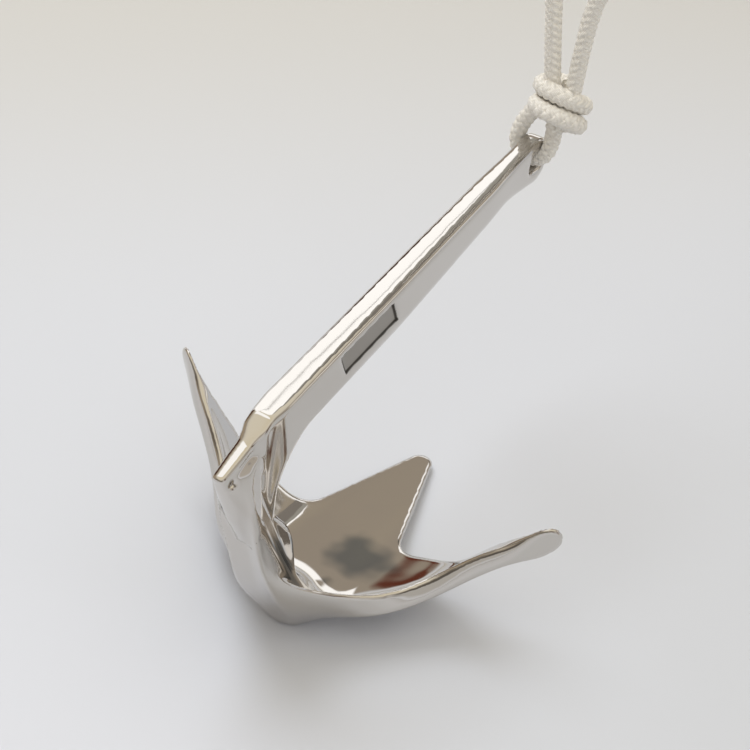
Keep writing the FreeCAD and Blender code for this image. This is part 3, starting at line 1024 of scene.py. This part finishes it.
@dataclass(frozen=True)
class Lamp:
    """A square soft box that faces the anchor."""

    # The way it hangs from the anchor, its distance and side in metres, its power and its tint.
    name: str
    towards: Point
    distance: float
    side: float
    watts: float
    colour: str

    def build(self, target: Vector) -> None:
        """Hang the lamp.

        Args:
            target: The point that it faces.
        """
        data = bpy.data.lights.new(self.name, "AREA")
        data.size = self.side
        data.energy = self.watts
        data.color = linear(self.colour)[:3]
        lamp = placed_object(self.name, data)
        lamp.visible_glossy = False
        way = Vector(self.towards).normalized()
        turn = way.to_track_quat("Z", "Y").to_matrix().to_4x4()
        lamp.matrix_world = Matrix.Translation(target + way * self.distance) @ turn


@dataclass(frozen=True)
class WindowCard:
    """A white card that the polished top of the shank mirrors, with a window's bar and a blind."""

    name: str = "window_card"
    # Where the card hangs, the way it faces, and its edges across and up from there, in metres.
    middle: Point = (0.170, 0.095, 0.432)
    faces: Point = (0.5, 0.36, 0.79)
    across: Pair = (-0.24, 0.20)
    up: Pair = (-0.225, 0.03)
    # The shank's line on the card runs slanted: its normal's parts across and up.
    slant: Pair = (0.6818, -0.7313)
    # The bar's place off that line and its drift along it, and its thickness.
    bar: Pair = (0.0497, 0.027)
    bar_wide: float = 0.0010
    # The blind's edge off that line and its drift along it, and the grey rail past the blind.
    blind: Pair = (-0.0045, -0.27)
    blind_soft: float = 0.0004
    rail_gap: float = 0.035
    pane_colour: str = "#ffffff"
    bar_colour: str = "#6f6b65"
    blind_colour: str = "#8e8c85"
    rail_colour: str = "#75706a"
    gain: float = 1.6

    def finish(self) -> Material:
        """Build the card's glow, with its bar and its blind.

        Returns:
            The finished material.
        """
        material, tree = new_material("window_glow")
        add = partial(add_node, tree)
        place = add("ShaderNodeUVMap", uv_map="UVMap")
        part_across, part_up = self.slant
        off, along = (
            add("ShaderNodeVectorMath", {0: place, 1: (*way, 0.0)}, operation="DOT_PRODUCT").outputs["Value"]
            for way in ((part_across, part_up), (-part_up, part_across))
        )
        past = []
        for start, drift in (self.bar, self.blind):
            straight = add("ShaderNodeMath", {0: off, 1: start}, operation="SUBTRACT")
            drifted = {0: along, 1: -drift, 2: straight}
            past.append(add("ShaderNodeMath", drifted, operation="MULTIPLY_ADD"))
        from_bar, from_blind = past
        beside_bar = add("ShaderNodeMath", {0: from_bar}, operation="ABSOLUTE")
        colour = linear(self.pane_colour)
        for over, value, ends in (
            (self.bar_colour, beside_bar, (self.bar_wide, self.bar_wide / 2)),
            (self.blind_colour, from_blind, (self.blind_soft, -self.blind_soft)),
            (self.rail_colour, from_blind, (-self.rail_gap, -self.rail_gap - self.bar_wide)),
        ):
            colour = laid_over(tree, colour, linear(over), value, ends)
        glow = add("ShaderNodeEmission", {"Color": colour, "Strength": self.gain})
        add("ShaderNodeOutputMaterial", {"Surface": glow})
        return material

    def build(self) -> None:
        """Hang the card, which only the metal's mirror sees."""
        work = bmesh.new()
        sheet = work.loops.layers.uv.new("UVMap")
        (left, right), (low, high) = self.across, self.up
        ends = [(left, low), (right, low), (right, high), (left, high)]
        face = work.faces.new([work.verts.new((*end, 0.0)) for end in ends])
        for loop, end in zip(face.loops, ends):
            loop[sheet].uv = end
        way = Vector(self.faces).normalized()
        across = Vector((-way.y, way.x, 0.0)).normalized()
        turn = Matrix((across, way.cross(across), way)).transposed().to_4x4()
        bmesh.ops.transform(work, matrix=Matrix.Translation(self.middle) @ turn, verts=work.verts)
        mesh = finished_mesh(work, self.name)
        mesh.materials.append(self.finish())
        card = placed_object(self.name, mesh)
        card.visible_camera = False
        card.visible_diffuse = False
        card.visible_shadow = False


@dataclass(frozen=True)
class Pane:
    """One part of the room that the metal mirrors: its degrees round, its heights and its tone."""

    turn: Pair
    height: Pair
    colour: str
    gain: float = 1.0
    soft_turn: float = 2.0
    soft_height: float = 0.025

    def over(self, tree: Tree, seen: Socket, angle: Socket, height: Socket) -> Socket:
        """Lay the pane over the room.

        Args:
            tree: The world's tree.
            seen: The room's colour so far.
            angle: The direction's degrees round from +x.
            height: The direction's height, from -1 to 1.

        Returns:
            The colour with the pane.
        """
        (left, right), (low, high) = self.turn, self.height
        by_turn, by_height = self.soft_turn, self.soft_height
        share = 1.0
        for value, start, end in (
            (angle, left - by_turn, left + by_turn),
            (angle, right + by_turn, right - by_turn),
            (height, low - by_height, low + by_height),
            (height, high + by_height, high - by_height),
        ):
            share = add_node(
                tree,
                "ShaderNodeMapRange",
                {"Value": value, "From Min": start, "From Max": end, "To Max": share},
                interpolation_type="SMOOTHSTEP",
            )
        glow = tuple(part * self.gain for part in linear(self.colour)[:3])
        mix = add_node(
            tree, "ShaderNodeMix", {"Factor": share, 6: seen, 7: (*glow, 1.0)}, data_type="RGBA"
        )
        return mix.outputs[2]


@dataclass(frozen=True)
class Studio:
    """The pale table, the soft room round it and the lamps."""

    # The table top is round, with this radius in metres.
    reach: float = 6.0
    table_sides: int = 96
    # The room's colours by height: the pale base, and the ceiling from its edge to overhead.
    base: str = "#e4e5e8"
    ceiling: Tuple[Tuple[float, str], ...] = (
        (0.0, "#ada293"),
        (0.66, "#b4a998"),
        (0.78, "#e9e2d2"),
        (0.86, "#f8f0dd"),
        (1.0, "#f3e8cd"),
    )
    base_top: Pair = (0.04, 0.12)
    walls_top: Pair = (0.50, 0.62)
    # The walls between them by degrees round from +x: furniture, a far window and doorways.
    walls: Tuple[Tuple[float, str], ...] = (
        (-180.0, "#6a655e"),
        (-125.0, "#6f6961"),
        (-118.0, "#d9d6d1"),
        (-100.0, "#dcd9d5"),
        (-97.0, "#54382c"),
        (-88.0, "#5d4236"),
        (-85.0, "#cfc9c0"),
        (-55.0, "#c4bcb0"),
        (-35.0, "#b0a69a"),
        (44.0, "#aea394"),
        (46.0, "#5a3f33"),
        (51.0, "#5a3f33"),
        (52.5, "#ffffff"),
        (70.0, "#ffffff"),
        (71.5, "#503529"),
        (86.0, "#6a4c3c"),
        (90.0, "#b6a78f"),
        (140.0, "#a79a88"),
        (155.0, "#6f6860"),
        (180.0, "#6a655e"),
    )
    panes: Tuple[Pane, ...] = (
        Pane((-190.0, -122.0), (0.04, 0.26), "#c9c6c0"),
        Pane((155.0, 190.0), (0.04, 0.26), "#c9c6c0"),
        Pane((-78.0, -60.0), (0.28, 0.52), "#a19c96"),
        Pane((-48.0, -18.0), (0.02, 0.35), "#d9dce1"),
        Pane((-56.0, -17.0), (0.40, 0.54), "#f3f1ed", 1.25),
        Pane((-3.0, 13.0), (0.27, 0.42), "#6f6c67"),
        Pane((-14.0, 9.0), (0.47, 0.60), "#ffffff", 1.4),
        Pane((-6.0, 28.0), (0.0, 0.09), "#f4f2ec", 1.4),
        Pane((12.0, 34.5), (0.04, 0.27), "#ffffff", 1.5, soft_turn=1.0),
        Pane((40.0, 43.5), (0.09, 0.19), "#6b3a2b", soft_turn=1.0),
        Pane((45.0, 47.5), (0.07, 0.16), "#ffffff", 1.3, soft_turn=1.0),
        Pane((60.0, 98.0), (0.82, 1.10), "#ffffff", 1.5),
    )
    lamps: Tuple[Lamp, ...] = (
        Lamp("window_light", (0.125, 0.383, 0.915), 1.6, 0.9, 11.5, "#f2f7ff"),
        Lamp("room_fill", (-0.45, -0.35, 0.82), 2.4, 2.2, 11.5, "#eef4ff"),
    )

    def floor(self) -> None:
        """Lay the table top, which is not part of the anchor."""
        work = bmesh.new()
        bmesh.ops.create_circle(work, cap_ends=True, radius=self.reach, segments=self.table_sides)
        mesh = finished_mesh(work, "table_top")
        mesh.materials.append(PaleTable().build())
        floor = placed_object("table_top", mesh)

    def room(self) -> None:
        """Light the room: walls of different tones between a pale base and a warm ceiling."""
        world = bpy.data.worlds.new("room")
        bpy.context.scene.world = world
        world.use_nodes = True
        tree = world.node_tree
        tree.nodes.clear()
        add = partial(add_node, tree)
        place = add("ShaderNodeTexCoord").outputs["Generated"]
        x, y, height = add("ShaderNodeSeparateXYZ", {0: place}).outputs
        angle = add("ShaderNodeMath", {0: y, 1: x}, operation="ARCTAN2")
        turn = add("ShaderNodeMath", {0: angle, 1: 1 / (2 * math.pi), 2: 0.5}, operation="MULTIPLY_ADD")
        walls = [(degrees / 360 + 0.5, colour) for degrees, colour in self.walls]
        seen = linear(self.base)
        for factor, stops, ends in (
            (turn, walls, self.base_top),
            (height, self.ceiling, self.walls_top),
        ):
            tones = add("ShaderNodeValToRGB", {0: factor})
            elements = tones.color_ramp.elements
            for element, (position, colour) in zip(elements, (stops[0], stops[-1])):
                element.position, element.color = position, linear(colour)
            for position, colour in stops[1:-1]:
                elements.new(position).color = linear(colour)
            seen = laid_over(tree, seen, tones, height, ends)
        degrees_round = add("ShaderNodeMath", {0: angle}, operation="DEGREES").outputs[0]
        for pane in self.panes:
            seen = pane.over(tree, seen, degrees_round, height)
        back = add("ShaderNodeBackground", {"Color": seen, "Strength": 1.0})
        add("ShaderNodeOutputWorld", {"Surface": back})

    def build(self, target: Vector) -> None:
        """Set the studio up.

        Args:
            target: The point that the lamps face.
        """
        self.floor()
        self.room()
        WindowCard().build()
        for lamp in self.lamps:
            lamp.build(target)


def main() -> None:
    """Build the anchor's pieces in order and report each one."""
    logging.basicConfig(level=logging.INFO, format="%(name)s: %(message)s")
    scene = bpy.context.scene
    scene.view_settings.view_transform = "Standard"
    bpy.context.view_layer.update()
    PhotoCamera().build()
    low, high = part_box("anchor")
    Studio().build((low + high) / 2)
    rope, finish = Rope(), BraidedPolyester().build()
    tree = rope.braid_tree()
    knot = Knot().build(rope, tree, finish)
    LOG.info("%s: %d faces", knot.name, len(knot.data.polygons))
    for route in (EYE_STRAND, LOOP):
        piece = rope.braided(route, tree, finish)
        rope.declare(piece, route, (knot,))
        LOG.info("%s: %d faces", piece.name, len(piece.data.polygons))
    casting = Casting().build(PolishedStainless())
    LOG.info("%s: %d faces", casting.name, len(casting.data.polygons))


if __name__ == "__main__":
    main()
